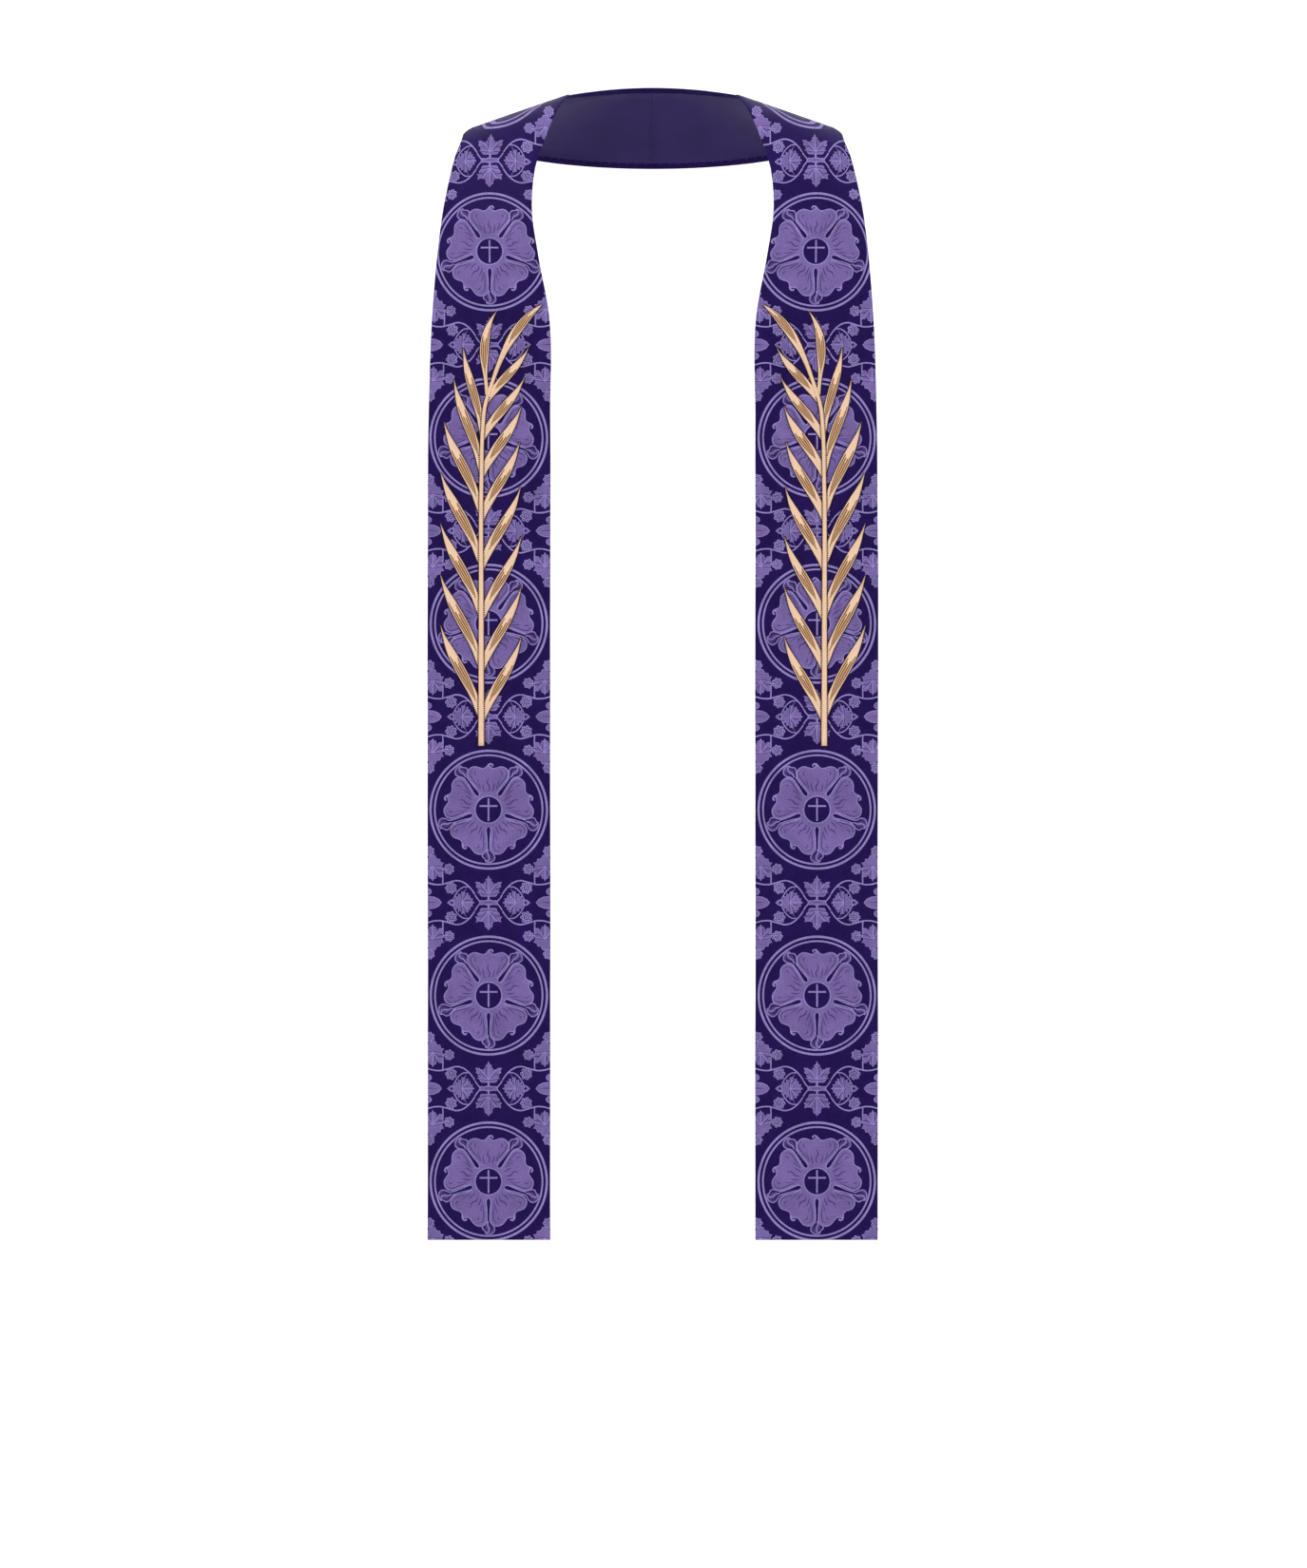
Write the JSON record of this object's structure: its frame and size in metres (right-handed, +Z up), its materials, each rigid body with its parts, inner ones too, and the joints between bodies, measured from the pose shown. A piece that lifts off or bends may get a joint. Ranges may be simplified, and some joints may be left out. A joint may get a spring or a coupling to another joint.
{
  "type": "clerical stole",
  "caption": "Clergy stole in its worn form, two patterned brocade panels joined at the nape, each with a raised gold leafy branch.",
  "frame": {"origin": "the nape, at the top of the centre back seam, on the outer face of the cloth", "axes": "+X to the wearer's left, +Y to the wearer's back, +Z up"},
  "size_m": [0.4672, 0.2482, 1.194],
  "materials": {
    "brocade": "dark purple silk brocade with a lighter woven figure",
    "gold_thread": "satin stitch in pale gold thread"
  },
  "bodies": {
    "root": {"panel_right": "brocade", "panel_left": "brocade", "branch_right": "gold_thread", "branch_left": "gold_thread"}
  },
  "joints": []
}
